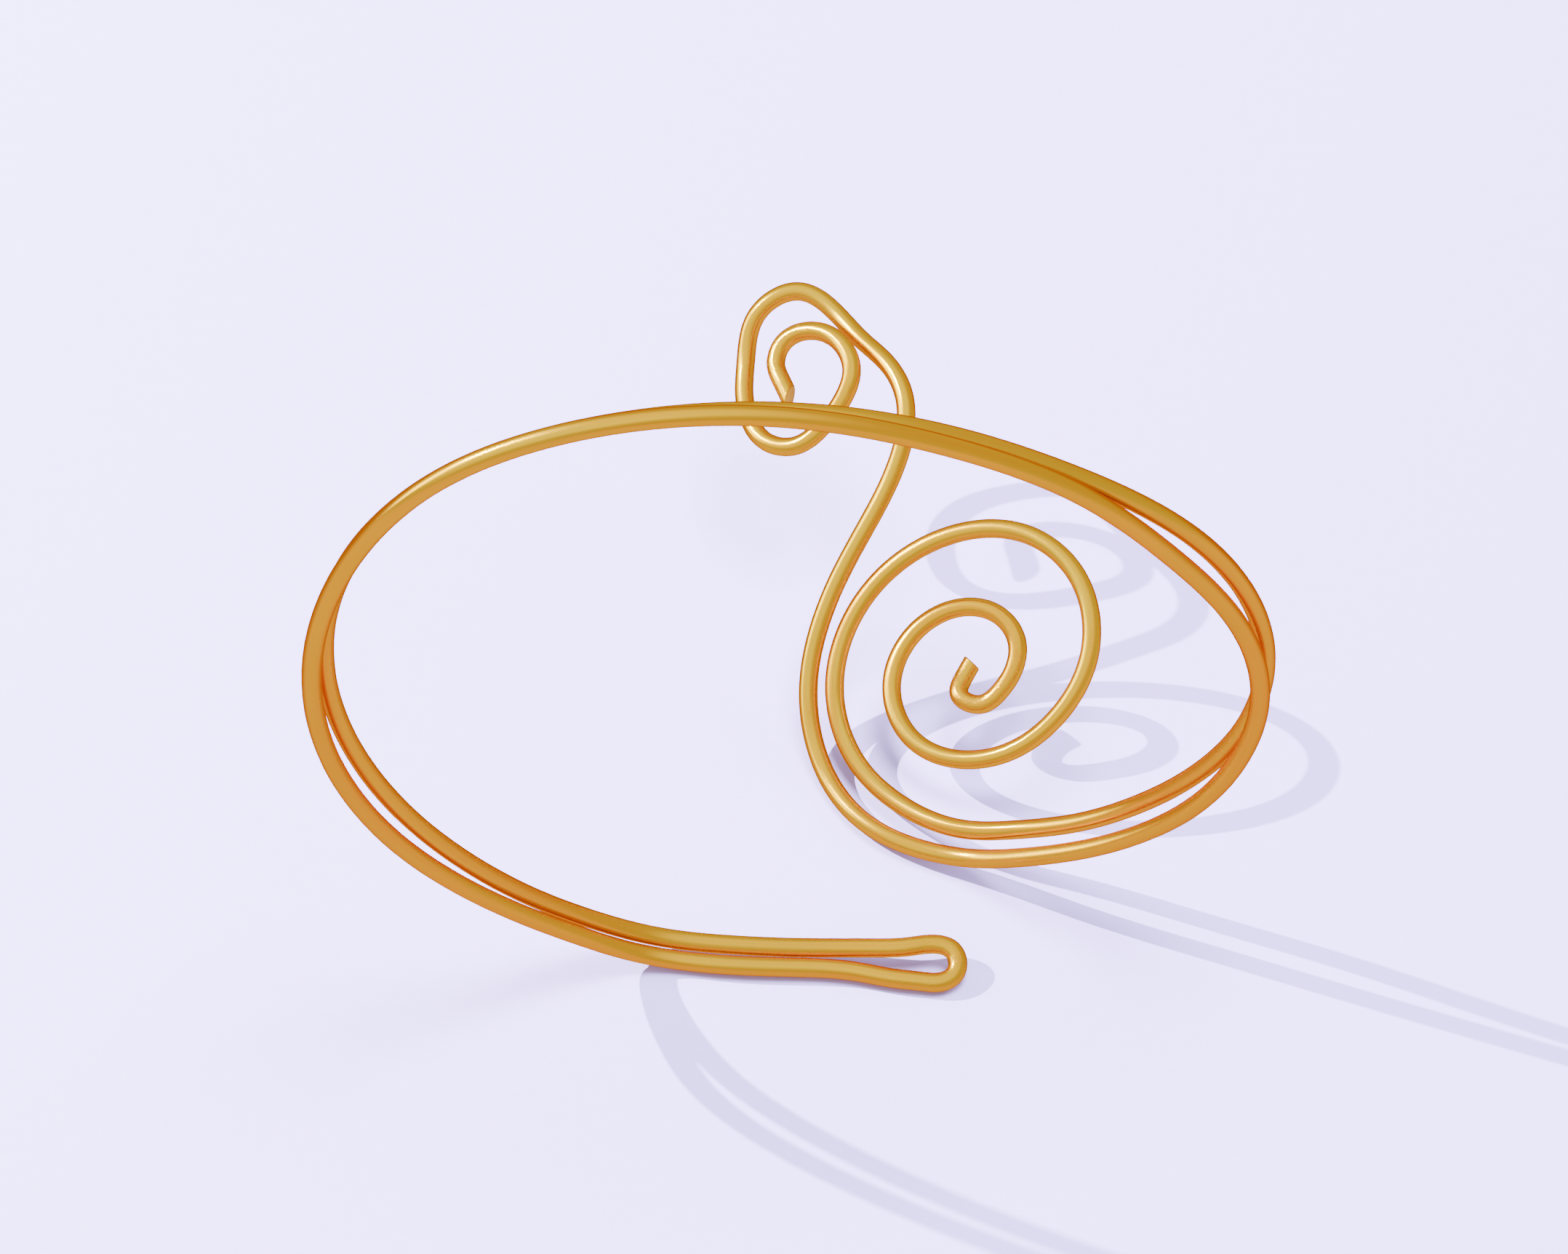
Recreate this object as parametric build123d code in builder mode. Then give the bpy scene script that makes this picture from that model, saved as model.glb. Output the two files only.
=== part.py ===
from build123d import *
import math
import os

os.makedirs("parts", exist_ok=True)

# A bracelet bent from one length of round wire. The wire starts in a small scroll, runs down an
# S-bend, sweeps under a big scroll, goes round the wrist, turns back on itself in a hairpin, goes
# round the wrist again behind the first strand and ends in the big scroll.
# X runs across the band, Y from the band back to the scrolls and Z up from the resting surface.

# Sizes in millimetres and degrees
wire_dia = 1.3  # round wire
strand_gap = 0.1  # clear space between the band's two strands
band_width = 60.0  # across the wrist, middle of wire to middle of wire
band_height = 60.0  # from the foot of the band to its top
band_lean = 2.0  # the top of the band leans forward
foot_drop = 0.36  # the flat foot is this much lower than the round of the band
big_scroll_radius = 10.15
big_scroll_across = 13.2  # right of the band's middle
big_scroll_back = 20.0  # behind the band's middle
big_scroll_rise = 6.6  # above the foot of the band
small_scroll_radius = 5.0
small_scroll_left = 10.6  # from the big scroll's middle, in the plane of the scrolls
small_scroll_up = 21.4  # from the big scroll's middle, in the plane of the scrolls
panel_tilt = 35.0  # the plane of the scrolls, up from level
panel_swing = 45.5  # that plane faces this far round to the left of straight forward
small_tip_length = 1.6  # straight tip at the small scroll, its snipped face halfway along
small_tip_angle = 48.0  # how far that face leans from square
big_tip_length = 1.1
big_tip_angle = 16.0

# How finely the guide line is turned into straight runs and arcs, in millimetres and degrees
step_count = 3000  # places at which the guide line is measured
longest_run = 6.0
corner_turn = 20.0  # the path turns by about this much at a corner
least_turn = 0.8  # a corner that turns less than this is left out
run_growth = 0.4  # a run is longer or shorter than the last by no more than about this share
arc_share = 0.45  # share of a run that the arc takes at each end
rest_count = 500  # places at which the finished path is measured before it is stood up

strand_pitch = wire_dia + strand_gap
half_width = band_width / 2
half_height = band_height / 2

# Small scroll, from the inner tip outwards. Turn counts anticlockwise from the bottom; radius and
# rise above the scroll plane are shares of the small scroll's radius.
small_scroll_rows = [
    # turn, radius, rise
    (-50, 0.16, 0.15),
    (-105, 0.2, 0.13),
    (-135, 0.385, 0.08),
    (-165, 0.6, 0.04),
    (-195, 0.71, 0.06),
    (-240, 0.83, 0.14),
    (-270, 0.865, 0.185),
    (-300, 0.785, 0.165),
    (-330, 0.79, 0.15),
    (-360, 0.895, 0.135),
    (-390, 0.905, 0.105),
    (-420, 0.84, 0.01),
    (-450, 0.836, -0.115),
    (-480, 0.947, -0.2),
    (-510, 1.222, -0.15),
    (-540, 1.325, -0.21),
    (-570, 1.075, -0.255),
    (-600, 1.035, -0.15),
]

# Diagonal and S-bend down to the big scroll. Shares of the big scroll's radius from its middle,
# in the plane of the scrolls.
s_bend_rows = [
    # across, up, rise
    (-0.384, 2.14, 0.015),
    (-0.257, 1.88, 0.076),
    (-0.263, 1.65, 0.089),
    (-0.347, 1.43, 0.076),
    (-0.598, 1.025, 0.077),
    (-0.866, 0.63, 0.05),
]

# Sweep under the big scroll, outside its outer turn. Shares of the big scroll's radius.
sweep_rows = [
    # turn, radius, rise
    (-120, 1.062, 0.042),
    (-90, 1.095, -0.02),
    (-60, 1.149, -0.03),
    (-30, 1.178, 0.042),
    (0, 1.244, 0.024),
]

# Near strand, anticlockwise from the right of the foot. Radius and set-back are shares of half
# the band's width or height.
near_strand_rows = [
    # turn, radius, back
    (30, 1.053, 0.201),
    (40, 1.04, 0.137),
    (50, 1.035, 0.086),
    (60, 1.032, 0.048),
    (75, 1.022, 0.016),
    (90, 1.004, 0.001),
    (105, 0.966, 0.0),
    (120, 0.925, 0.0),
    (140, 0.92, 0.0),
    (160, 0.939, 0.0),
    (180, 0.999, 0.0),
    (200, 1.063, 0.0),
    (220, 1.094, 0.0),
    (240, 1.052, 0.0),
    (260, 0.998, 0.0),
    (280, 0.959, 0.0),
    (300, 0.937, 0.0),
    (320, 0.945, 0.012),
    (334, 0.998, 0.038),
]

# Foot of the band, flat on the surface: the near strand goes out to the hairpin and the far strand
# comes back. Across is a share of half the band's width; lift and back are shares of the strand pitch.
hairpin_rows = [
    # across, lift, back
    (-0.291, 0.32, 1.0),
    (-0.215, 0.0, 0.81),
    (-0.139, 0.0, 0.51),
    (0.015, 0.0, 0.15),
    (0.169, 0.0, -0.3),
    (0.244, 0.0, -0.75),
    (0.31, 0.0, -1.03),
    (0.348, 0.0, -1.12),
    (0.379, 0.09, -0.86),
    (0.391, 0.3, -0.24),
    (0.379, 0.51, 0.38),
    (0.348, 0.6, 0.64),
    (0.284, 0.6, 0.58),
    (0.207, 0.45, 0.71),
    (0.052, 0.3, 1.02),
    (-0.102, 0.27, 1.39),
    (-0.255, 0.45, 1.88),
]

# Far strand, clockwise back round the wrist. Its set-back counts from one pitch behind the near
# strand.
far_strand_rows = [
    # turn, radius, back
    (335, 0.993, 0.04),
    (320, 0.926, 0.01),
    (300, 0.901, 0.0),
    (280, 0.92, 0.0),
    (260, 0.97, 0.0),
    (240, 1.029, 0.0),
    (220, 1.047, 0.0),
    (200, 1.004, 0.0),
    (180, 0.955, 0.0),
    (160, 0.918, 0.0),
    (140, 0.916, 0.0),
    (120, 0.965, 0.0),
    (105, 1.001, 0.001),
    (90, 1.021, 0.005),
    (75, 1.021, 0.020),
    (60, 1.023, 0.069),
    (50, 1.04, 0.120),
    (40, 1.052, 0.171),
    (30, 1.056, 0.231),
]

# Big scroll, clockwise from under its middle inwards to the hook and the tip. Shares of its radius.
big_scroll_rows = [
    # turn, radius, rise
    (0, 1.055, 0.02),
    (-30, 0.955, -0.034),
    (-60, 0.936, -0.068),
    (-90, 0.916, -0.045),
    (-120, 0.887, -0.021),
    (-150, 0.889, -0.013),
    (-180, 0.939, -0.017),
    (-210, 1.011, -0.016),
    (-240, 1.005, -0.013),
    (-270, 0.893, -0.024),
    (-300, 0.734, -0.045),
    (-330, 0.63, -0.061),
    (-360, 0.573, -0.071),
    (-405, 0.554, -0.088),
    (-450, 0.535, -0.115),
    (-495, 0.5, -0.154),
    (-540, 0.476, -0.187),
    (-570, 0.449, -0.201),
    (-600, 0.383, -0.21),
    (-630, 0.282, -0.216),
    (-660, 0.218, -0.22),
    (-705, 0.19, -0.215),
    (-765, 0.14, -0.215),
    (-835, 0.08, -0.268),
    (-866, 0.09, -0.28),
]


def polar(centre, across, up, turn, radius_across, radius_up):
    """Point at a turn from straight down, in the plane of across and up."""
    angle = math.radians(turn)
    return centre + across * (radius_across * math.sin(angle)) - up * (radius_up * math.cos(angle))


# Directions and middles of the band and of the scrolls
lean = math.radians(band_lean)
tilt = math.radians(panel_tilt)
swing = math.radians(panel_swing)
band_across = Vector(1, 0, 0)
band_up = Vector(0, -math.sin(lean), math.cos(lean))
band_back = Vector(0, math.cos(lean), math.sin(lean))
foot_middle = band_up * -(half_height + foot_drop)
panel_out = Vector(-math.sin(tilt) * math.sin(swing), -math.sin(tilt) * math.cos(swing), math.cos(tilt))
panel_across = (band_across - panel_out * panel_out.X).normalized()
panel_up = panel_out.cross(panel_across)
big_middle = Vector(big_scroll_across, big_scroll_back, foot_middle.Z + big_scroll_rise)
small_middle = big_middle - panel_across * small_scroll_left + panel_up * small_scroll_up


def scroll_points(rows, centre, radius):
    """Points of a scroll from its rows of turn, radius and rise."""
    points = []
    for turn, out, rise in rows:
        in_plane = polar(centre, panel_across, panel_up, turn, out * radius, out * radius)
        points.append(in_plane + panel_out * (rise * radius))
    return points


def strand_points(rows, set_back):
    """Points of one strand of the band from its rows of turn, radius and set-back."""
    points = []
    for turn, out, back in rows:
        in_plane = polar(Vector(0, 0, 0), band_across, band_up, turn, out * half_width, out * half_height)
        points.append(in_plane + band_back * (set_back + back * half_width))
    return points


small_scroll = scroll_points(small_scroll_rows, small_middle, small_scroll_radius)
s_bend = [
    big_middle + (panel_across * across + panel_up * up + panel_out * rise) * big_scroll_radius
    for across, up, rise in s_bend_rows
]
sweep_under = scroll_points(sweep_rows, big_middle, big_scroll_radius)
near_strand = strand_points(near_strand_rows, 0)
hairpin = [
    foot_middle + Vector(across * half_width, back * strand_pitch, lift * strand_pitch)
    for across, lift, back in hairpin_rows
]
far_strand = strand_points(far_strand_rows, strand_pitch)
big_scroll = scroll_points(big_scroll_rows, big_middle, big_scroll_radius)

guide_points = small_scroll + s_bend + sweep_under + near_strand + hairpin + far_strand + big_scroll
guide = Spline(*guide_points)


def corners_along(line):
    """Corners of the path, closer together where the line turns sharply and a little way around."""
    places = [line @ (step / step_count) for step in range(step_count + 1)]
    gaps = [(after - before).length for before, after in zip(places, places[1:])]
    reach = [longest_run] * (step_count + 1)
    for step in range(1, step_count):
        step_in = places[step] - places[step - 1]
        step_out = places[step + 1] - places[step]
        turn_per_length = step_in.get_angle(step_out) / gaps[step]
        reach[step] = min(longest_run, corner_turn / max(turn_per_length, corner_turn / longest_run))
    for step in range(1, step_count + 1):
        reach[step] = min(reach[step], reach[step - 1] + run_growth * gaps[step - 1])
    for step in range(step_count - 1, -1, -1):
        reach[step] = min(reach[step], reach[step + 1] + run_growth * gaps[step])

    # Count how many runs fit, make that a whole number and set each corner where the count steps up
    shares = [gap / allowed for gap, allowed in zip(gaps, reach)]
    run_total = math.ceil(sum(shares))
    corners = [places[0]]
    counted = 0
    for before, after, share in zip(places, places[1:], shares):
        counted_here = share * run_total / sum(shares)
        counted += counted_here
        if counted > len(corners) and len(corners) < run_total:
            corners.append(after + (before - after) * ((counted - len(corners)) / counted_here))
    return corners + [places[-1]]


all_corners = corners_along(guide)

# A corner where the path hardly turns is left out, so that no arc is all but straight
corners = [all_corners[0]]
for corner, after in zip(all_corners[1:], all_corners[2:]):
    if (corner - corners[-1]).get_angle(after - corner) > least_turn:
        corners.append(corner)
corners.append(all_corners[-1])

# Straight runs joined by arcs that touch both runs
with BuildLine() as wire_path:
    run_start = corners[0]
    for before, corner, after in zip(corners, corners[1:], corners[2:]):
        run_in = corner - before
        run_out = after - corner
        reach = arc_share * min(run_in.length, run_out.length)
        arc_start = corner - run_in.normalized() * reach
        arc_end = corner + run_out.normalized() * reach
        Line(run_start, arc_start)
        TangentArc(arc_start, arc_end, tangent=run_in)
        run_start = arc_end
    Line(run_start, corners[-1])

# Stand it on its feet: it tips about the foot of the band until the sweep touches the surface too.
# The origin is then below the middle of its box.
loose_path = wire_path.wires()[0]
path_places = [loose_path @ (step / rest_count) for step in range(rest_count + 1)]
between_feet = big_scroll_back / 4
front_foot = min((place for place in path_places if place.Y < between_feet), key=lambda place: place.Z)
rear_foot = min((place for place in path_places if place.Y > between_feet), key=lambda place: place.Z)
tip_over = math.degrees(math.atan2(rear_foot.Z - front_foot.Z, rear_foot.Y - front_foot.Y))
standing_path = loose_path.rotate(Axis(front_foot, (1, 0, 0)), -tip_over)
box = standing_path.bounding_box()
path = standing_path.moved(Location((-box.center().X, -box.center().Y, wire_dia / 2 - box.min.Z)))

# Each end: where it is, which way it points, how long its tip is and how far the snip leans. Both
# snips leave the left side longer.
snips = [
    (path @ 0, (path % 0) * -1, small_tip_length, small_tip_angle),
    (path @ 1, path % 1, big_tip_length, big_tip_angle),
]

with BuildPart() as coil_wire:
    with BuildSketch(Plane(origin=path @ 0, z_dir=path % 0)):
        Circle(wire_dia / 2)
    sweep(path=path)
    for end, heading, tip_length, tip_angle in snips:
        lean = math.radians(tip_angle)
        right_side = (panel_across - heading * heading.dot(panel_across)).normalized()
        snip_out = heading * math.cos(lean) + right_side * math.sin(lean)
        snip = Plane(origin=end + heading * (tip_length / 2), z_dir=snip_out)
        with BuildSketch(Plane(origin=end, z_dir=heading)):
            Circle(wire_dia / 2)
        stub = extrude(amount=tip_length, mode=Mode.PRIVATE)
        add(split(stub, bisect_by=snip, keep=Keep.BOTTOM, mode=Mode.PRIVATE))

# The volume of a sound sweep is its section times its length
wire_length = path.length + (small_tip_length + big_tip_length) / 2
straight_volume = math.pi * (wire_dia / 2) ** 2 * wire_length
print("wire length", round(wire_length, 1), "corners", len(corners), "tipped by", round(tip_over, 3))
print("volume", round(coil_wire.part.volume, 2), "of a straight wire as long", round(straight_volume, 2))

coil_wire.part.label = "coil_wire"
export_step(coil_wire.part, "parts/coil_wire.step")
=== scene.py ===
# %% [markdown]
# # Coil bracelet in drawn wire
# The bracelet is one length of round, gold-coloured wire, a little over half a metre long. It is
# bent over round-nosed pliers and a mandrel and never joined: a small scroll, an S-bend, a sweep
# under a big scroll, once round the wrist, a hairpin, once more round the wrist behind the first
# strand, and the big scroll. Both ends are snipped off with side cutters.
#
# A maker could cast it, solder it from rings or bend it. Bending is how the real one is made, and
# it shows: the strands wander a little beside each other and no turn is a true circle. So the
# wire here is one tube along one line, never a set of rings.
#
# The imported part is loaded first. Everything here is placed in its frame.

import math

import bmesh
import bpy
import numpy as np
from mathutils import Matrix, Vector


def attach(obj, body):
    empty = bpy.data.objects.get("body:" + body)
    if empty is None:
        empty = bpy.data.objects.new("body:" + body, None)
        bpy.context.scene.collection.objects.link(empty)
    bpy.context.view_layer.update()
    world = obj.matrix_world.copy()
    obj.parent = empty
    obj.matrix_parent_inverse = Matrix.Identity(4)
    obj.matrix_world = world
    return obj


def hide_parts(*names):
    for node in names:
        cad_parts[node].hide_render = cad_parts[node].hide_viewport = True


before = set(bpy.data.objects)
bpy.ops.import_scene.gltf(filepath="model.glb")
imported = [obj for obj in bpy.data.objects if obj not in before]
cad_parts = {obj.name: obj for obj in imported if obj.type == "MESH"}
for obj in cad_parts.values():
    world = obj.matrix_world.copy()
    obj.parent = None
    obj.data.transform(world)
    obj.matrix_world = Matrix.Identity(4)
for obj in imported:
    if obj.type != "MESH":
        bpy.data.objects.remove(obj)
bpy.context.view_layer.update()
print("packed nodes:", sorted(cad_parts))

# %% [markdown]
# ## The line that the wire follows
# The wire's middle is written down the way a wire worker would measure it: how far out it is at
# each turn of the band or scroll, as a share of that band's or scroll's own radius. These are the
# same sizes and rows that the solid part is built from, so the tube lies where the solid is. The
# other way, reading the line back from the solid's faces, would copy its short straight runs, and
# they show as flats in a highlight.
#
# Lengths are in millimetres here and become metres once the line stands on its feet.

# %% Sizes
# Sizes in millimetres and degrees
wire_dia = 1.3  # round wire
strand_gap = 0.1  # clear space between the band's two strands
band_width = 60.0  # across the wrist, middle of wire to middle of wire
band_height = 60.0  # from the foot of the band to its top
band_lean = 2.0  # the top of the band leans forward
foot_drop = 0.36  # the flat foot is this much lower than the round of the band
big_scroll_radius = 10.15
big_scroll_across = 13.2  # right of the band's middle
big_scroll_back = 20.0  # behind the band's middle
big_scroll_rise = 6.6  # above the foot of the band
small_scroll_radius = 5.0
small_scroll_left = 10.6  # from the big scroll's middle, in the plane of the scrolls
small_scroll_up = 21.4  # from the big scroll's middle, in the plane of the scrolls
panel_tilt = 35.0  # the plane of the scrolls, up from level
panel_swing = 45.5  # that plane faces this far round to the left of straight forward
small_tip_length = 1.6  # straight tip at the small scroll, its snipped face halfway along
small_tip_angle = 48.0  # how far that face leans from square
big_tip_length = 1.1
big_tip_angle = 16.0
print("wire of", wire_dia, "mm, band of", band_width, "by", band_height, "mm")

# %% [markdown]
# The scrolls come first. They lie in one tilted plane, the panel, and a row may also rise out of
# it. A wire bent by hand drifts in and out of its plane, and the shadows in the photograph show it.

# %% Rows of the scrolls
# Small scroll, from the inner tip outwards. Turn counts anticlockwise from the bottom; radius and
# rise above the scroll plane are shares of the small scroll's radius.
small_scroll_rows = [
    # turn, radius, rise
    (-50, 0.16, 0.15),
    (-105, 0.2, 0.13),
    (-135, 0.385, 0.08),
    (-165, 0.6, 0.04),
    (-195, 0.71, 0.06),
    (-240, 0.83, 0.14),
    (-270, 0.865, 0.185),
    (-300, 0.785, 0.165),
    (-330, 0.79, 0.15),
    (-360, 0.895, 0.135),
    (-390, 0.905, 0.105),
    (-420, 0.84, 0.01),
    (-450, 0.836, -0.115),
    (-480, 0.947, -0.2),
    (-510, 1.222, -0.15),
    (-540, 1.325, -0.21),
    (-570, 1.075, -0.255),
    (-600, 1.035, -0.15),
]

# Diagonal and S-bend down to the big scroll. Shares of the big scroll's radius from its middle,
# in the plane of the scrolls.
s_bend_rows = [
    # across, up, rise
    (-0.384, 2.14, 0.015),
    (-0.257, 1.88, 0.076),
    (-0.263, 1.65, 0.089),
    (-0.347, 1.43, 0.076),
    (-0.598, 1.025, 0.077),
    (-0.866, 0.63, 0.05),
]

# Sweep under the big scroll, outside its outer turn. Shares of the big scroll's radius.
sweep_rows = [
    # turn, radius, rise
    (-120, 1.062, 0.042),
    (-90, 1.095, -0.02),
    (-60, 1.149, -0.03),
    (-30, 1.178, 0.042),
    (0, 1.244, 0.024),
]

# Big scroll, clockwise from under its middle inwards to the hook and the tip. Shares of its radius.
big_scroll_rows = [
    # turn, radius, rise
    (0, 1.055, 0.02),
    (-30, 0.955, -0.034),
    (-60, 0.936, -0.068),
    (-90, 0.916, -0.045),
    (-120, 0.887, -0.021),
    (-150, 0.889, -0.013),
    (-180, 0.939, -0.017),
    (-210, 1.011, -0.016),
    (-240, 1.005, -0.013),
    (-270, 0.893, -0.024),
    (-300, 0.734, -0.045),
    (-330, 0.63, -0.061),
    (-360, 0.573, -0.071),
    (-405, 0.554, -0.088),
    (-450, 0.535, -0.115),
    (-495, 0.5, -0.154),
    (-540, 0.476, -0.187),
    (-570, 0.449, -0.201),
    (-600, 0.383, -0.21),
    (-630, 0.282, -0.216),
    (-660, 0.218, -0.22),
    (-705, 0.19, -0.215),
    (-765, 0.14, -0.215),
    (-835, 0.08, -0.268),
    (-866, 0.09, -0.28),
]
print("rows of the two scrolls:", len(small_scroll_rows), "and", len(big_scroll_rows))
print("rows between them:", len(s_bend_rows), "and", len(sweep_rows))

# %% [markdown]
# The two strands of the band are bent by hand round the same mandrel, so their radii are alike but
# never equal. At the foot they come together and end in the hairpin.

# %% Rows of the band
# Near strand, anticlockwise from the right of the foot. Radius and set-back are shares of half
# the band's width or height.
near_strand_rows = [
    # turn, radius, back
    (30, 1.053, 0.201),
    (40, 1.04, 0.137),
    (50, 1.035, 0.086),
    (60, 1.032, 0.048),
    (75, 1.022, 0.016),
    (90, 1.004, 0.001),
    (105, 0.966, 0.0),
    (120, 0.925, 0.0),
    (140, 0.92, 0.0),
    (160, 0.939, 0.0),
    (180, 0.999, 0.0),
    (200, 1.063, 0.0),
    (220, 1.094, 0.0),
    (240, 1.052, 0.0),
    (260, 0.998, 0.0),
    (280, 0.959, 0.0),
    (300, 0.937, 0.0),
    (320, 0.945, 0.012),
    (334, 0.998, 0.038),
]

# Foot of the band, flat on the surface: the near strand goes out to the hairpin and the far strand
# comes back. Across is a share of half the band's width; lift and back are shares of the strand pitch.
hairpin_rows = [
    # across, lift, back
    (-0.291, 0.32, 1.0),
    (-0.215, 0.0, 0.81),
    (-0.139, 0.0, 0.51),
    (0.015, 0.0, 0.15),
    (0.169, 0.0, -0.3),
    (0.244, 0.0, -0.75),
    (0.31, 0.0, -1.03),
    (0.348, 0.0, -1.12),
    (0.379, 0.09, -0.86),
    (0.391, 0.3, -0.24),
    (0.379, 0.51, 0.38),
    (0.348, 0.6, 0.64),
    (0.284, 0.6, 0.58),
    (0.207, 0.45, 0.71),
    (0.052, 0.3, 1.02),
    (-0.102, 0.27, 1.39),
    (-0.255, 0.45, 1.88),
]

# Far strand, clockwise back round the wrist. Its set-back counts from one pitch behind the near
# strand.
far_strand_rows = [
    # turn, radius, back
    (335, 0.993, 0.04),
    (320, 0.926, 0.01),
    (300, 0.901, 0.0),
    (280, 0.92, 0.0),
    (260, 0.97, 0.0),
    (240, 1.029, 0.0),
    (220, 1.047, 0.0),
    (200, 1.004, 0.0),
    (180, 0.955, 0.0),
    (160, 0.918, 0.0),
    (140, 0.916, 0.0),
    (120, 0.965, 0.0),
    (105, 1.001, 0.001),
    (90, 1.021, 0.005),
    (75, 1.021, 0.020),
    (60, 1.023, 0.069),
    (50, 1.04, 0.120),
    (40, 1.052, 0.171),
    (30, 1.056, 0.231),
]
print("rows of the band:", len(near_strand_rows), len(hairpin_rows), len(far_strand_rows))

# %% [markdown]
# ## From rows to points
# The band leans a little and the scrolls lie in a plane of their own, so both planes and the
# middles of their turns come first.

# %% Planes of the band and of the scrolls
def unit(vector):
    """The same direction, one long."""
    return vector / np.linalg.norm(vector)


lean, tilt, swing = (math.radians(angle) for angle in (band_lean, panel_tilt, panel_swing))
band_across = np.array([1, 0, 0])
band_up = np.array([0, -math.sin(lean), math.cos(lean)])
band_back = np.array([0, math.cos(lean), math.sin(lean)])
panel_out = np.array([-math.sin(tilt) * math.sin(swing), -math.sin(tilt) * math.cos(swing), math.cos(tilt)])
panel_across = unit(band_across - panel_out * panel_out[0])
panel_up = np.cross(panel_out, panel_across)

strand_pitch = wire_dia + strand_gap
half_width, half_height = band_width / 2, band_height / 2
foot_middle = band_up * -(half_height + foot_drop)
big_middle = np.array([big_scroll_across, big_scroll_back, foot_middle[2] + big_scroll_rise])
small_middle = big_middle - panel_across * small_scroll_left + panel_up * small_scroll_up
print("middles of the scrolls in mm:", big_middle.round(1), small_middle.round(1))

# %% [markdown]
# A row of a scroll or strand becomes a point by turning from straight down in its plane. The S-bend
# and the hairpin don't go round a middle, so their rows say how far across and up they are.

# %% Points of the wire's middle
def scroll_points(rows, middle, radius):
    """Points of a scroll from rows of turn, radius and rise."""
    points = []
    for turn, out, rise in rows:
        angle = math.radians(turn)
        in_plane = panel_across * math.sin(angle) - panel_up * math.cos(angle)
        points.append(middle + (in_plane * out + panel_out * rise) * radius)
    return points


def strand_points(rows, set_back):
    """Points of one strand of the band from rows of turn, radius and set-back."""
    points = []
    for turn, out, back in rows:
        angle = math.radians(turn)
        in_plane = band_across * (math.sin(angle) * half_width) - band_up * (math.cos(angle) * half_height)
        points.append(in_plane * out + band_back * (set_back + back * half_width))
    return points


s_bend = [
    big_middle + (panel_across * across + panel_up * up + panel_out * rise) * big_scroll_radius
    for across, up, rise in s_bend_rows
]
hairpin = [
    foot_middle + np.array([across * half_width, back * strand_pitch, lift * strand_pitch])
    for across, lift, back in hairpin_rows
]
row_points = (
    scroll_points(small_scroll_rows, small_middle, small_scroll_radius)
    + s_bend
    + scroll_points(sweep_rows, big_middle, big_scroll_radius)
    + strand_points(near_strand_rows, 0)
    + hairpin
    + strand_points(far_strand_rows, strand_pitch)
    + scroll_points(big_scroll_rows, big_middle, big_scroll_radius)
)
print("rows of the wire:", len(row_points))

# %% [markdown]
# ## One smooth line
# A wire bends evenly between the places where it is held, and that is what a spline does which
# passes through every point with its bend changing smoothly. Blender's own automatic handles
# bend more at the points than between them, so the spline is solved here. It is a natural one: its
# bend dies away at both ends, as a snipped wire's does.

# %% Spline through the points
def smooth_line(points, spacing):
    """Points at even spacing along the natural cubic spline through the given points."""
    rows = np.array(points, float)
    reached = np.concatenate([[0], np.cumsum(np.linalg.norm(np.diff(rows, axis=0), axis=1))])
    step = np.diff(reached)
    balance = np.eye(len(rows))
    pull = np.zeros_like(rows)
    for i in range(1, len(rows) - 1):
        balance[i, i - 1:i + 2] = step[i - 1], 2 * (step[i - 1] + step[i]), step[i]
        pull[i] = 6 * ((rows[i + 1] - rows[i]) / step[i] - (rows[i] - rows[i - 1]) / step[i - 1])
    bend = np.linalg.solve(balance, pull)

    # Each wanted place lies in a span between two rows, so far gone from the first of them
    wanted = np.linspace(0, reached[-1], round(reached[-1] / spacing) + 1)
    span = np.clip(np.searchsorted(reached, wanted, side="right") - 1, 0, len(rows) - 2)
    width = step[span][:, None]
    gone = (wanted - reached[span])[:, None]
    left = width - gone
    curved = (bend[span] * left**3 + bend[span + 1] * gone**3) / (6 * width)
    from_row = (rows[span] / width - bend[span] * width / 6) * left
    to_row = (rows[span + 1] / width - bend[span + 1] * width / 6) * gone
    return curved + (from_row + to_row)


line = smooth_line(row_points, spacing=0.1)
print("points of the line:", len(line))

# %% [markdown]
# The wire stands on its feet as the solid does: it tips about the band's foot until the sweep
# touches the surface too, and the origin goes under the middle of its box.

# %% Stand the line up
between_feet = big_scroll_back / 4
front = line[line[:, 1] < between_feet]
rear = line[line[:, 1] > between_feet]
front_foot = front[front[:, 2].argmin()]
rear_foot = rear[rear[:, 2].argmin()]
tip_over = -math.atan2(rear_foot[2] - front_foot[2], rear_foot[1] - front_foot[1])
level = np.array(Matrix.Rotation(tip_over, 3, "X"))
line = (line - front_foot) @ level.T
line -= [*(line.min(0) + line.max(0))[:2] / 2, line[:, 2].min() - wire_dia / 2]
line /= 1000
wire_radius = wire_dia / 2000  # in metres, as everything is from here on
line_length = np.linalg.norm(np.diff(line, axis=0), axis=1).sum()
print("length of the line:", round(line_length, 4), "m, tipped by", round(math.degrees(tip_over), 3))

# %% [markdown]
# ## The wire as a node tree
# What follows a line belongs in Geometry Nodes: the line goes in, and the tree gives it a round
# section, carries the thickness wander of hand-worked wire and stores where each point is on the
# unbent wire. That last value is what makes a wire look drawn. Lines from the draw plate run
# along the wire round every bend, and a texture in the object's own axes can't follow them.
#
# Its inputs are the sizes that a maker might want to change.

# %% Tree of the drawn wire and its inputs
tree = bpy.data.node_groups.new("drawn_wire", "GeometryNodeTree")
nodes, links = tree.nodes, tree.links


def add(kind, **settings):
    """A node of the tree with its settings."""
    node = nodes.new(kind)
    for setting, value in settings.items():
        setattr(node, setting, value)
    return node


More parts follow.
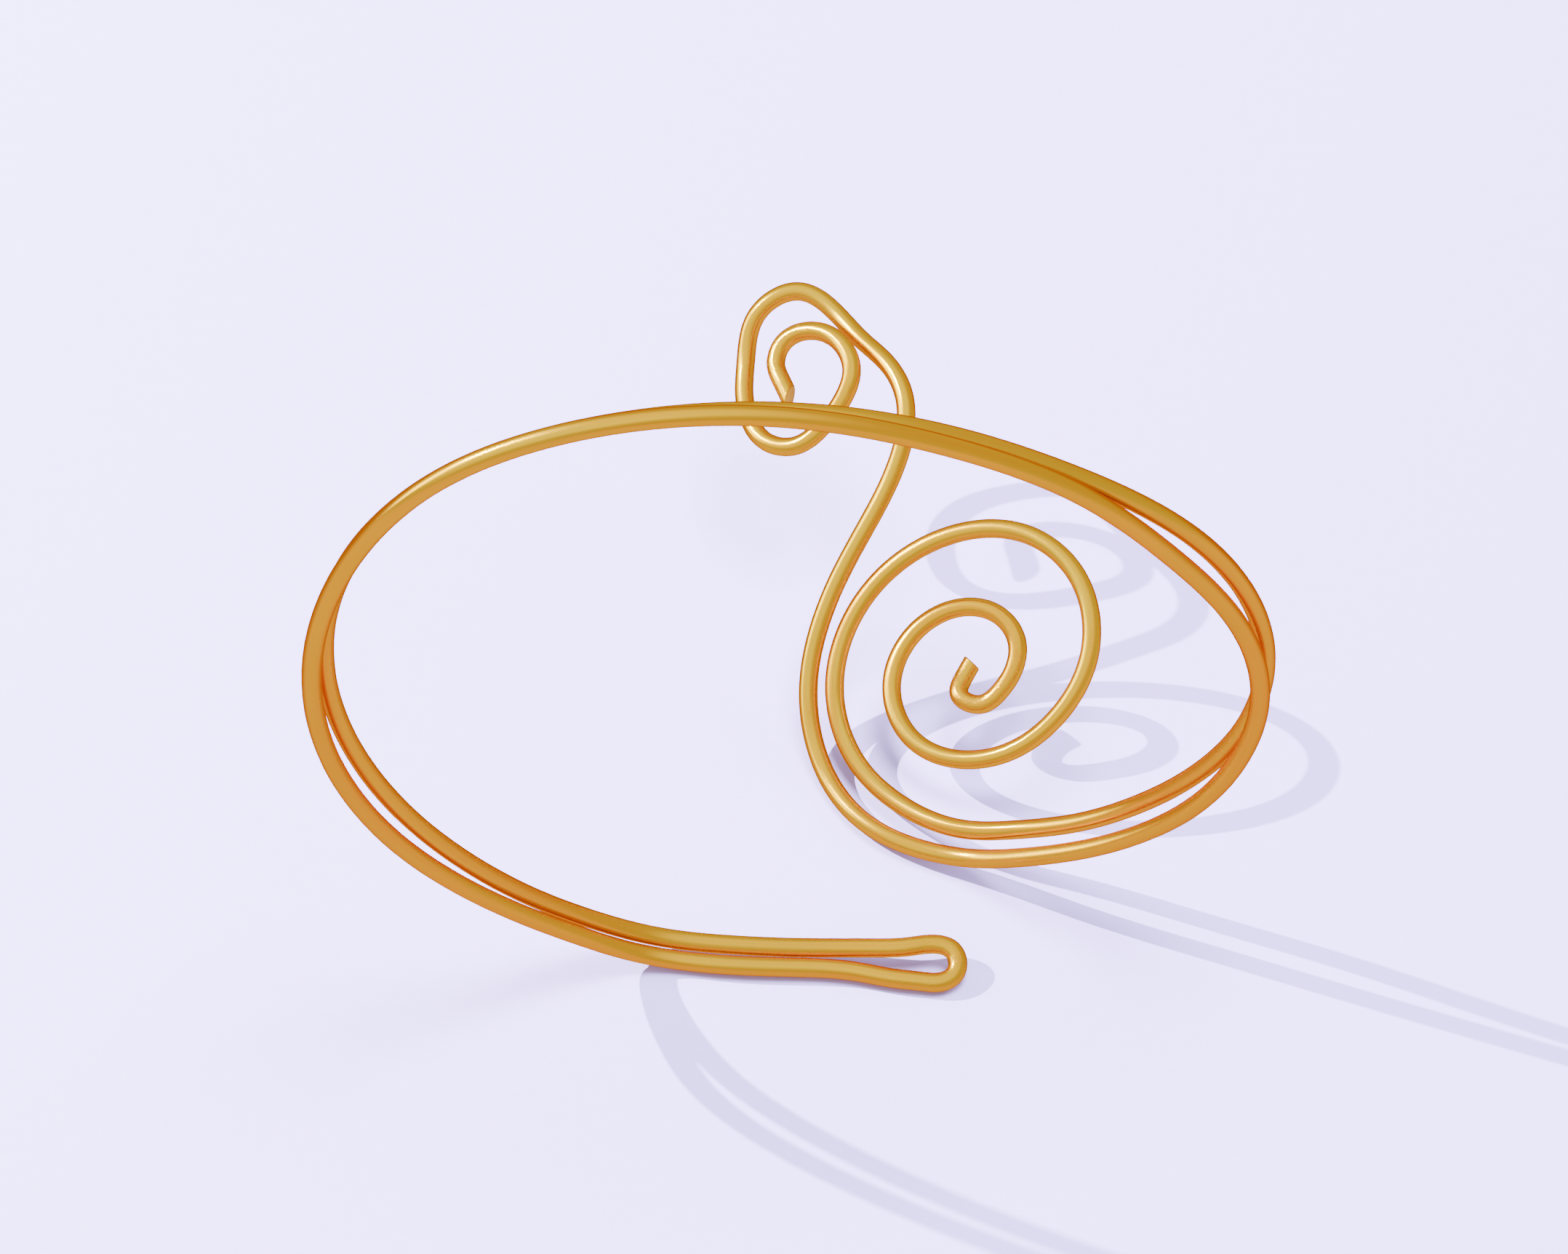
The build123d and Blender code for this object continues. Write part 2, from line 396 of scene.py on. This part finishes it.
wire_inputs = [
    # name, kind, usual value
    ("Radius", "NodeSocketFloat", wire_radius),
    ("Sides", "NodeSocketInt", 24),
    ("Ring spacing", "NodeSocketFloat", 0.0002),
    ("Wander", "NodeSocketFloat", 0.012),
    ("Dent depth", "NodeSocketFloat", 0.000008),
    ("Seed", "NodeSocketFloat", 7.0),
]
tree.interface.new_socket(name="Line", in_out="INPUT", socket_type="NodeSocketGeometry")
input_ids = {}
for name, kind, value in wire_inputs:
    socket = tree.interface.new_socket(name=name, in_out="INPUT", socket_type=kind)
    socket.default_value = value
    input_ids[name] = socket.identifier
tree.interface.new_socket(name="Wire", in_out="OUTPUT", socket_type="NodeSocketGeometry")
given = add("NodeGroupInput")
result = add("NodeGroupOutput")
print("inputs of the tree besides the line:", list(input_ids))

# %% [markdown]
# The line is divided evenly into rings. The rings' size wanders slowly along the wire and is never
# more than the full radius, so that the tube is nowhere thicker than the solid.

# %% Rings along the line
wander_per_metre = 120.0

to_curve = add("GeometryNodeMeshToCurve")
resample = add("GeometryNodeResampleCurve", mode="LENGTH")
links.new(given.outputs["Line"], to_curve.inputs["Mesh"])
links.new(to_curve.outputs["Curve"], resample.inputs["Curve"])
links.new(given.outputs["Ring spacing"], resample.inputs["Length"])

along = add("GeometryNodeSplineParameter")
keep_along = add("GeometryNodeCaptureAttribute", domain="POINT")
keep_along.capture_items.new("FLOAT", "Along")
links.new(resample.outputs["Curve"], keep_along.inputs["Geometry"])
links.new(along.outputs["Length"], keep_along.inputs["Along"])

stretch = add("ShaderNodeMath", operation="MULTIPLY")
stretch.inputs[1].default_value = wander_per_metre
wander = add("ShaderNodeTexNoise", noise_dimensions="2D")
wander_place = add("ShaderNodeCombineXYZ")
thickness = add("ShaderNodeMapRange")
thickness.inputs["To Max"].default_value = 1.0
thinnest = add("ShaderNodeMath", operation="SUBTRACT")
thinnest.inputs[0].default_value = 1.0
ring_radius = add("ShaderNodeMath", operation="MULTIPLY")
links.new(along.outputs["Length"], stretch.inputs[0])
links.new(stretch.outputs[0], wander_place.inputs["X"])
links.new(given.outputs["Seed"], wander_place.inputs["Y"])
links.new(wander_place.outputs[0], wander.inputs["Vector"])
links.new(wander.outputs[0], thickness.inputs["Value"])
links.new(given.outputs["Wander"], thinnest.inputs[1])
links.new(thinnest.outputs[0], thickness.inputs["To Min"])
links.new(thickness.outputs[0], ring_radius.inputs[0])
links.new(given.outputs["Radius"], ring_radius.inputs[1])
print("the thickness wanders about", wander_per_metre, "times a metre")

# %% [markdown]
# `wire_coord` holds the place in the section in x and y and the length from the small scroll's
# tip in z, all in metres. It has no seam, unlike an unrolled map.

# %% Tube and its place on the unbent wire
section = add("GeometryNodeCurvePrimitiveCircle", mode="RADIUS")
section.inputs["Radius"].default_value = 1.0
keep_section = add("GeometryNodeCaptureAttribute", domain="POINT")
keep_section.capture_items.new("VECTOR", "Section")
section_place = add("GeometryNodeInputPosition")
links.new(given.outputs["Sides"], section.inputs["Resolution"])
links.new(section.outputs["Curve"], keep_section.inputs["Geometry"])
links.new(section_place.outputs[0], keep_section.inputs["Section"])

tube = add("GeometryNodeCurveToMesh")
tube.inputs["Fill Caps"].default_value = True
links.new(keep_along.outputs["Geometry"], tube.inputs["Curve"])
links.new(ring_radius.outputs[0], tube.inputs["Scale"])
links.new(keep_section.outputs["Geometry"], tube.inputs["Profile Curve"])

to_metres = add("ShaderNodeVectorMath", operation="SCALE")
section_parts = add("ShaderNodeSeparateXYZ")
coord = add("ShaderNodeCombineXYZ")
store = add("GeometryNodeStoreNamedAttribute", data_type="FLOAT_VECTOR", domain="POINT")
store.inputs["Name"].default_value = "wire_coord"
links.new(keep_section.outputs["Section"], to_metres.inputs[0])
links.new(given.outputs["Radius"], to_metres.inputs["Scale"])
links.new(to_metres.outputs[0], section_parts.inputs[0])
links.new(section_parts.outputs["X"], coord.inputs["X"])
links.new(section_parts.outputs["Y"], coord.inputs["Y"])
links.new(keep_along.outputs["Along"], coord.inputs["Z"])
links.new(tube.outputs["Mesh"], store.inputs["Geometry"])
links.new(coord.outputs[0], store.inputs["Value"])
print("the tube stores", store.inputs["Name"].default_value)

# %% [markdown]
# Handling leaves shallow dents, which only ever go inwards. They are longer along the wire than
# across it.

# %% Dents and the finished mesh
dents_per_metre = (900, 900, 260)  # across the section twice, and along the wire

dent_place = add("ShaderNodeVectorMath", operation="MULTIPLY")
dent_place.inputs[1].default_value = dents_per_metre
dents = add("ShaderNodeTexNoise", noise_dimensions="4D")
dents.inputs["Scale"].default_value = 1.0
dents.inputs["Detail"].default_value = 1.0
dent_depth = add("ShaderNodeMath", operation="MULTIPLY")
inwards = add("ShaderNodeMath", operation="MULTIPLY")
inwards.inputs[1].default_value = -1.0
normal = add("GeometryNodeInputNormal")
offset = add("ShaderNodeVectorMath", operation="SCALE")
move = add("GeometryNodeSetPosition")
links.new(coord.outputs[0], dent_place.inputs[0])
links.new(dent_place.outputs[0], dents.inputs["Vector"])
links.new(given.outputs["Seed"], dents.inputs["W"])
links.new(dents.outputs[0], dent_depth.inputs[0])
links.new(given.outputs["Dent depth"], dent_depth.inputs[1])
links.new(dent_depth.outputs[0], inwards.inputs[0])
links.new(normal.outputs[0], offset.inputs[0])
links.new(inwards.outputs[0], offset.inputs["Scale"])
links.new(store.outputs["Geometry"], move.inputs["Geometry"])
links.new(offset.outputs[0], move.inputs["Offset"])

smooth = add("GeometryNodeSetShadeSmooth")
realize = add("GeometryNodeRealizeInstances")
paint = add("GeometryNodeSetMaterial")
links.new(move.outputs["Geometry"], smooth.inputs["Geometry"])
links.new(smooth.outputs["Geometry"], realize.inputs["Geometry"])
links.new(realize.outputs["Geometry"], paint.inputs["Geometry"])
links.new(paint.outputs["Geometry"], result.inputs["Wire"])
print("nodes of the tree:", len(nodes))

# %% [markdown]
# ## Gold that has been drawn, bent and handled
# Worn drawn wire isn't one colour. The draw plate leaves fine lines along it, the pliers leave
# small shallow bites near the ends, and handling polishes some stretches and dulls others. All of
# that is worked out from `wire_coord` in one group, because the skin of the wire and its snipped
# ends both use it. The group gives only values that vary. Metal, tint at the rim and the other
# constants stay on each material's own shader.

# %% Group: wear of drawn wire
wear_noises = {
    # features a metre, across the section twice and along the wire; detail; range that is kept
    "Lines": ((5200, 5200, 70), 2.0, 0.3, 0.7),
    "Streaks": ((1400, 1400, 22), 1.0, 0.35, 0.65),
    "Patches": ((320, 320, 90), 2.0, 0.38, 0.64),
    "Grain": ((17000, 17000, 11000), 1.0, 0.3, 0.7),
    "Bites": ((7000, 7000, 2400), 1.0, 0.56, 0.72),
}
hairpin_middle = line_length * 0.505
plier_holds = [
    # middle, reach, both in metres along the wire
    (0.0, 0.012),
    (line_length, 0.011),
    (hairpin_middle, 0.008),
]
full_hold = 0.4  # share of the reach within which the bites are at their deepest


def wear_group():
    """Shader group: lines along the wire, patches of wear and plier bites, each from 0 to 1."""
    group = bpy.data.node_groups.new("drawn_wire_wear", "ShaderNodeTree")
    for name in wear_noises:
        group.interface.new_socket(name=name, in_out="OUTPUT", socket_type="NodeSocketFloat")
    nodes, links = group.nodes, group.links
    result = nodes.new("NodeGroupOutput")
    coord = nodes.new("ShaderNodeAttribute")
    coord.attribute_name = "wire_coord"

    def noise(per_metre, detail, low, high):
        """Noise stretched by so many features a metre each way, its contrast raised."""
        scale = nodes.new("ShaderNodeVectorMath")
        scale.operation = "MULTIPLY"
        scale.inputs[1].default_value = per_metre
        texture = nodes.new("ShaderNodeTexNoise")
        texture.inputs["Scale"].default_value = 1.0
        texture.inputs["Detail"].default_value = detail
        contrast = nodes.new("ShaderNodeMapRange")
        contrast.inputs["From Min"].default_value = low
        contrast.inputs["From Max"].default_value = high
        links.new(coord.outputs["Vector"], scale.inputs[0])
        links.new(scale.outputs[0], texture.inputs["Vector"])
        links.new(texture.outputs[0], contrast.inputs["Value"])
        return contrast.outputs[0]

    def math_node(operation, first, second):
        """A sum, product or such of a value and a value or number."""
        node = nodes.new("ShaderNodeMath")
        node.operation = operation
        links.new(first, node.inputs[0])
        if isinstance(second, float):
            node.inputs[1].default_value = second
        else:
            links.new(second, node.inputs[1])
        return node.outputs[0]

    for name in ("Lines", "Streaks", "Patches", "Grain"):
        links.new(noise(*wear_noises[name]), result.inputs[name])

    # Bites only where pliers hold the wire: near each tip and at the hairpin
    bites = noise(*wear_noises["Bites"])
    split = nodes.new("ShaderNodeSeparateXYZ")
    links.new(coord.outputs["Vector"], split.inputs[0])
    held = None
    for middle, reach in plier_holds:
        apart = nodes.new("ShaderNodeMath")
        apart.operation = "ABSOLUTE"
        links.new(math_node("SUBTRACT", split.outputs["Z"], float(middle)), apart.inputs[0])
        near = nodes.new("ShaderNodeMapRange")
        near.inputs["From Min"].default_value = reach
        near.inputs["From Max"].default_value = reach * full_hold
        links.new(apart.outputs[0], near.inputs["Value"])
        held = near.outputs[0] if held is None else math_node("MAXIMUM", held, near.outputs[0])
    links.new(math_node("MULTIPLY", bites, held), result.inputs["Bites"])
    return group


wear = wear_group()
print("outputs of the wear group:", [item.name for item in wear.interface.items_tree])

# %% [markdown]
# ## Two finishes of one metal
# A finish here is a few usual values that the wear moves up or down. Two helpers do that for
# every material: one mixes two colours, the other adds values by their weight.

# %% Helpers for materials
def mix_colour(nodes, links, factor, low, high):
    """Colour between two, by a factor that varies over the surface."""
    mix = nodes.new("ShaderNodeMix")
    mix.data_type = "RGBA"
    for socket, colour in (("A", low), ("B", high)):
        target = [s for s in mix.inputs if s.name == socket and s.type == "RGBA"][0]
        if isinstance(colour, tuple):
            target.default_value = (*colour, 1.0)
        else:
            links.new(colour, target)
    links.new(factor, mix.inputs["Factor"])
    return [s for s in mix.outputs if s.type == "RGBA"][0]


def weighted(nodes, links, terms, base):
    """base plus the sum of value times weight."""
    total = base
    for value, weight in terms:
        step = nodes.new("ShaderNodeMath")
        step.operation = "MULTIPLY_ADD"
        step.inputs[1].default_value = weight
        links.new(value, step.inputs[0])
        if isinstance(total, float):
            step.inputs[2].default_value = total
        else:
            links.new(total, step.inputs[2])
        total = step.outputs[0]
    return total


# %% [markdown]
# The skin is polished and then handled, so a highlight is narrow but soft at its edges, and duller
# where there are streaks and patches of wear. A rich yellow comes from a base colour with almost
# no blue, since every reflection in metal is multiplied by it, and where one strand mirrors the
# other it is multiplied twice and turns orange by itself. The rim tint bends towards orange as
# well. A snipped face is fresh metal, paler and scored by the cutters.

# %% Materials of the wire
def gold(name, tones, rough, bump_depth, rough_terms, height_terms):
    """A metal of the wire. tones are its usual, deep and dull colour; terms weigh the wear."""
    material = bpy.data.materials.new(name)
    material.use_nodes = True
    nodes, links = material.node_tree.nodes, material.node_tree.links
    shader = nodes["Principled BSDF"]
    shader.inputs["Metallic"].default_value = 1.0
    shader.inputs["Specular Tint"].default_value = (1.0, 0.5, 0.12, 1.0)
    group = nodes.new("ShaderNodeGroup")
    group.node_tree = wear

    def worn(terms, base):
        """base plus the weighted values of the wear."""
        return weighted(nodes, links, [(group.outputs[key], weight) for key, weight in terms], base)

    usual, deep, dull = tones
    colour = mix_colour(nodes, links, group.outputs["Streaks"], usual, deep)
    colour = mix_colour(nodes, links, worn([("Patches", 0.35)], 0.0), colour, dull)
    links.new(colour, shader.inputs["Base Color"])
    links.new(worn(rough_terms, rough), shader.inputs["Roughness"])
    bump = nodes.new("ShaderNodeBump")
    bump.inputs["Strength"].default_value = 1.0
    bump.inputs["Distance"].default_value = bump_depth
    links.new(worn(height_terms, 0.0), bump.inputs["Height"])
    links.new(bump.outputs[0], shader.inputs["Normal"])
    return material


satin_gold = gold(
    "satin_gold",
    tones=((0.95, 0.56, 0.002), (0.92, 0.46, 0.001), (0.74, 0.52, 0.01)),
    rough=0.13,
    bump_depth=0.000012,
    rough_terms=[("Streaks", 0.07), ("Patches", 0.1), ("Grain", 0.04), ("Bites", 0.2)],
    height_terms=[("Lines", 0.35), ("Grain", 0.15), ("Bites", -0.5)],
)
snipped_gold = gold(
    "snipped_gold",
    tones=((1.0, 0.78, 0.2), (1.0, 0.72, 0.16), (0.95, 0.74, 0.24)),
    rough=0.35,
    bump_depth=0.000012,
    rough_terms=[("Grain", 0.15)],
    height_terms=[("Streaks", 1.0), ("Grain", 0.5)],
)
print("finishes:", satin_gold.name, "and", snipped_gold.name)

# %% [markdown]
# ## Running the tree
# A bare line of vertices goes in. Each end is longer than the finished wire, so that the snip
# below has something to cut off.

# %% Make the wire
start_heading = unit(line[0] - line[1])
end_heading = unit(line[-1] - line[-2])
small_tip = line[0] + start_heading * np.linspace(small_tip_length / 1000, 0, 8)[:-1, None]
big_tip = line[-1] + end_heading * np.linspace(0, big_tip_length / 1000, 8)[1:, None]
long_line = np.vstack([small_tip, line, big_tip])

path_mesh = bpy.data.meshes.new("wire_path")
path_mesh.from_pydata(long_line.tolist(), [(i, i + 1) for i in range(len(long_line) - 1)], [])
path_object = bpy.data.objects.new("wire_path", path_mesh)
bpy.context.scene.collection.objects.link(path_object)
paint.inputs["Material"].default_value = satin_gold
modifier = path_object.modifiers.new("drawn wire", "NODES")
modifier.node_group = tree
for name, kind, value in wire_inputs:
    modifier[input_ids[name]] = value

depsgraph = bpy.context.evaluated_depsgraph_get()
wire_mesh = bpy.data.meshes.new_from_object(
    path_object.evaluated_get(depsgraph), preserve_all_data_layers=True, depsgraph=depsgraph
)
wire_mesh.name = "bracelet_wire"
bpy.data.objects.remove(path_object)
wire = bpy.data.objects.new("bracelet_wire", wire_mesh)
bpy.context.scene.collection.objects.link(wire)
wire_mesh.materials.append(snipped_gold)
print("faces of the wire:", len(wire_mesh.polygons), "materials:", [m.name for m in wire_mesh.materials])

# %% [markdown]
# ## Snipped ends
# Side cutters leave a slanting face, not a square one, and a rim that is rolled over a little by
# the jaws. Both faces look to the right and leave the wire's left side longer, the small scroll's
# much more than the big scroll's. Cutting the mesh with a plane gives the face its true outline.

# %% Snip both ends
snip_reach = 0.004  # metres from the cut within which the mesh belongs to the tip
least_miss = 0.00008  # metres that a ring keeps from the cut
rim_roll = 0.00007  # metres


def snip(mesh, end, heading, tip_length, tip_angle, near_end):
    """Cut the wire's end with a slanting plane, close it and roll its rim."""
    slant = math.radians(tip_angle)
    right_side = unit(panel_across - heading * (heading @ panel_across))
    outwards = Vector(heading * math.cos(slant) + right_side * math.sin(slant))
    place = Vector(end + heading * (tip_length / 2000))  # halfway along the tip
    bm = bmesh.new()
    bm.from_mesh(mesh)
    layer = bm.verts.layers.float_vector["wire_coord"]
    close = {v for v in bm.verts if near_end(v[layer].z) and (v.co - place).length < snip_reach}

    # Rings that the cut would only just miss slide along the tip, so no thin faces are left at it
    along = Vector(heading)
    for v in close:
        past = (v.co - place).dot(outwards)
        if abs(past) < least_miss:
            v.co += along * ((math.copysign(least_miss, past) - past) / along.dot(outwards))

    faces = [f for f in bm.faces if all(v in close for v in f.verts)]
    edges = {e for f in faces for e in f.edges}
    verts = {v for f in faces for v in f.verts}
    cut = bmesh.ops.bisect_plane(
        bm, geom=faces + list(edges) + list(verts), plane_co=place, plane_no=outwards, clear_outer=True
    )
    rim = [e for e in cut["geom_cut"] if isinstance(e, bmesh.types.BMEdge)]
    face = bmesh.ops.contextual_create(bm, geom=rim)["faces"][0]
    if face.normal.dot(outwards) < 0:
        face.normal_flip()
    face.material_index = 1
    bmesh.ops.bevel(
        bm,
        geom=list(face.edges),
        offset=rim_roll,
        offset_type="OFFSET",
        segments=2,
        profile=0.5,
        affect="EDGES",
    )
    bm.to_mesh(mesh)
    bm.free()
    return len(rim)


total_length = line_length + (small_tip_length + big_tip_length) / 1000
rims = [
    snip(wire_mesh, line[0], start_heading, small_tip_length, small_tip_angle, lambda z: z < snip_reach),
    snip(
        wire_mesh,
        line[-1],
        end_heading,
        big_tip_length,
        big_tip_angle,
        lambda z: z > total_length - snip_reach,
    ),
]
print("edges cut at each end:", rims)

# %% [markdown]
# The finished wire takes the place of the plain solid and goes wherever its body goes.

# %% Tell the frame what the wire is
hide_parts("coil_wire")
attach(wire, "root")
print("faces of the finished wire:", len(wire_mesh.polygons))

# %% [markdown]
# ## The surface it stands on
# Pale matt card with a touch of lavender, which is what makes yellow metal look its strongest.
# The card has a very fine tooth, so that it isn't a flat colour. Its base colour is much bluer
# than it looks, because the lit card is bright and bright colours come out paler.
#
# The wire doesn't mirror the card. A card as bright as this would wash out the gold of every
# underside, so the warm light from below comes from the surround instead.

# %% Floor
card = bpy.data.materials.new("pale_card")
card.use_nodes = True
nodes, links = card.node_tree.nodes, card.node_tree.links
shader = nodes["Principled BSDF"]
shader.inputs["Roughness"].default_value = 0.85
shader.inputs["Specular IOR Level"].default_value = 0.2
card_coord = nodes.new("ShaderNodeTexCoord")
tooth = nodes.new("ShaderNodeTexNoise")
tooth.inputs["Scale"].default_value = 900.0
tooth.inputs["Detail"].default_value = 3.0
links.new(card_coord.outputs["Object"], tooth.inputs["Vector"])
tone = mix_colour(nodes, links, tooth.outputs[0], (0.46, 0.37, 0.93), (0.49, 0.395, 0.96))
links.new(tone, shader.inputs["Base Color"])
bump = nodes.new("ShaderNodeBump")
bump.inputs["Strength"].default_value = 0.15
bump.inputs["Distance"].default_value = 0.0001
links.new(tooth.outputs[0], bump.inputs["Height"])
links.new(bump.outputs[0], shader.inputs["Normal"])

half = 1.5  # metres, half the floor's width
floor_corners = [(-half, -half, 0), (half, -half, 0), (half, half, 0), (-half, half, 0)]
floor_mesh = bpy.data.meshes.new("floor")
floor_mesh.from_pydata(floor_corners, [], [(0, 1, 2, 3)])
floor_mesh.materials.append(card)
floor = bpy.data.objects.new("floor", floor_mesh)
bpy.context.scene.collection.objects.link(floor)
floor.visible_glossy = False
print("floor of", 2 * half, "m in", card.name)

# %% [markdown]
# ## Light
# One small lamp stands to the left and a little behind, 38 degrees up. Its place comes from the
# shadows: each one lies where a line from the lamp through the wire meets the card. It is split in
# two, a weak one that the wire mirrors as a glint and a strong one that it doesn't, which throws
# the shadows. A broad cool window from the right fills them, and a card light from above makes the
# card pale. Neither of these is mirrored either, so the gold keeps its colour.

# %% Lamps
lamp_place = (-0.416, 0.1665, 0.352)
warm_white = (1.0, 0.97, 0.93)
cool_white = (0.78, 0.82, 1.0)
white = (1, 1, 1)
lamps = [
    # name, place and width in metres, power in watts, colour, mirrored by the wire
    ("lamp", lamp_place, 0.006, 4.0, warm_white, True),
    ("shade lamp", lamp_place, 0.006, 20.0, warm_white, False),
    ("window", (0.7, 0.3, 0.5), 0.5, 13.0, cool_white, False),
    ("card light", (0.2, 0.1, 1.3), 0.6, 58.0, white, False),
]
for name, place, width, power, colour, mirrored in lamps:
    data = bpy.data.lights.new(name, "AREA")
    data.shape = "DISK"
    data.size = width
    data.energy = power
    data.color = colour
    light = bpy.data.objects.new(name, data)
    light.location = place
    light.rotation_euler = (-Vector(place)).to_track_quat("-Z", "Y").to_euler()
    light.visible_glossy = mirrored
    bpy.context.scene.collection.objects.link(light)
print("lamps:", [row[0] for row in lamps])

# %% [markdown]
# Polished wire shows what is round it, so most of its look is in the surround: a wide pale glow
# overhead and to the front left, a narrow bright one low on the lamp's side, a dim warm sky
# between them, and below the horizon the light that the card and the object throw up, rosy in
# front and deep orange behind. The contrast between these is what rounds the wire.

# %% Surround
world = bpy.data.worlds.new("studio")
bpy.context.scene.world = world
world.use_nodes = True
background = world.node_tree.nodes["Background"]
nodes, links = world.node_tree.nodes, world.node_tree.links
direction = nodes.new("ShaderNodeTexCoord")
split = nodes.new("ShaderNodeSeparateXYZ")
links.new(direction.outputs["Object"], split.inputs[0])


def ramp(value, low, high):
    """0 below low, 1 above high and an even rise between."""
    share = nodes.new("ShaderNodeMapRange")
    share.inputs["From Min"].default_value = low
    share.inputs["From Max"].default_value = high
    links.new(value, share.inputs["Value"])
    return share.outputs[0]


def glow_around(middle, low, high):
    """How near a direction is to the middle of a glow, as a ramp of the cosine between them."""
    toward = nodes.new("ShaderNodeVectorMath")
    toward.operation = "DOT_PRODUCT"
    toward.inputs[1].default_value = middle
    links.new(direction.outputs["Object"], toward.inputs[0])
    return ramp(toward.outputs["Value"], low, high)


warm_sky = (0.78, 0.66, 0.5)
pale_glow = (1.45, 1.48, 1.4)
narrow_glow = (7.0, 7.0, 6.8)
rosy = (1.15, 0.8, 0.75)
deep_orange = (0.6, 0.3, 0.1)

overhead = glow_around((-0.35, -0.1, 0.93), 0.45, 0.85)
lamp_side = glow_around((-0.94, 0.235, 0.25), 0.95, 0.995)
above = ramp(split.outputs["Z"], -0.15, 0.05)
behind = ramp(split.outputs["Y"], -0.1, 0.5)
sky = mix_colour(nodes, links, overhead, warm_sky, pale_glow)
sky = mix_colour(nodes, links, lamp_side, sky, narrow_glow)
from_below = mix_colour(nodes, links, behind, rosy, deep_orange)
links.new(mix_colour(nodes, links, above, from_below, sky), background.inputs["Color"])
background.inputs["Strength"].default_value = 1.0
print("nodes of the surround:", len(nodes))

# %% [markdown]
# ## Camera
# A long lens from the front, looking down at 52 degrees. The angles, the distance and the point
# that it is aimed at come from laying the line of the wire over the wire in the photograph.

# %% Camera
image_width = 2156  # pixels
focal_length = 11000  # pixels
azimuth, elevation, roll = (math.radians(angle) for angle in (3.81, 52.1, 0.47))
distance = 0.54245  # metres from the point that it is aimed at
aim_right = 0.00097  # metres from the origin to that point, along the picture
aim_up = 0.00567
forward = np.array(
    [math.sin(azimuth) * math.cos(elevation), math.cos(azimuth) * math.cos(elevation), -math.sin(elevation)]
)
right = np.array([math.cos(azimuth), -math.sin(azimuth), 0])
upright = np.cross(right, forward)
aim = right * aim_right + upright * aim_up
rolled_right = right * math.cos(roll) + upright * math.sin(roll)
rolled_up = upright * math.cos(roll) - right * math.sin(roll)

camera_data = bpy.data.cameras.new("camera")
camera_data.sensor_width = 36.0
camera_data.lens = camera_data.sensor_width * focal_length / image_width
camera_data.clip_start = 0.01
camera = bpy.data.objects.new("camera", camera_data)
turned = Matrix([rolled_right, rolled_up, -forward]).transposed().to_4x4()
camera.matrix_world = Matrix.Translation(aim - forward * distance) @ turned
bpy.context.scene.collection.objects.link(camera)
bpy.context.scene.camera = camera
print("lens of", round(camera_data.lens, 1), "mm,", distance, "m away")
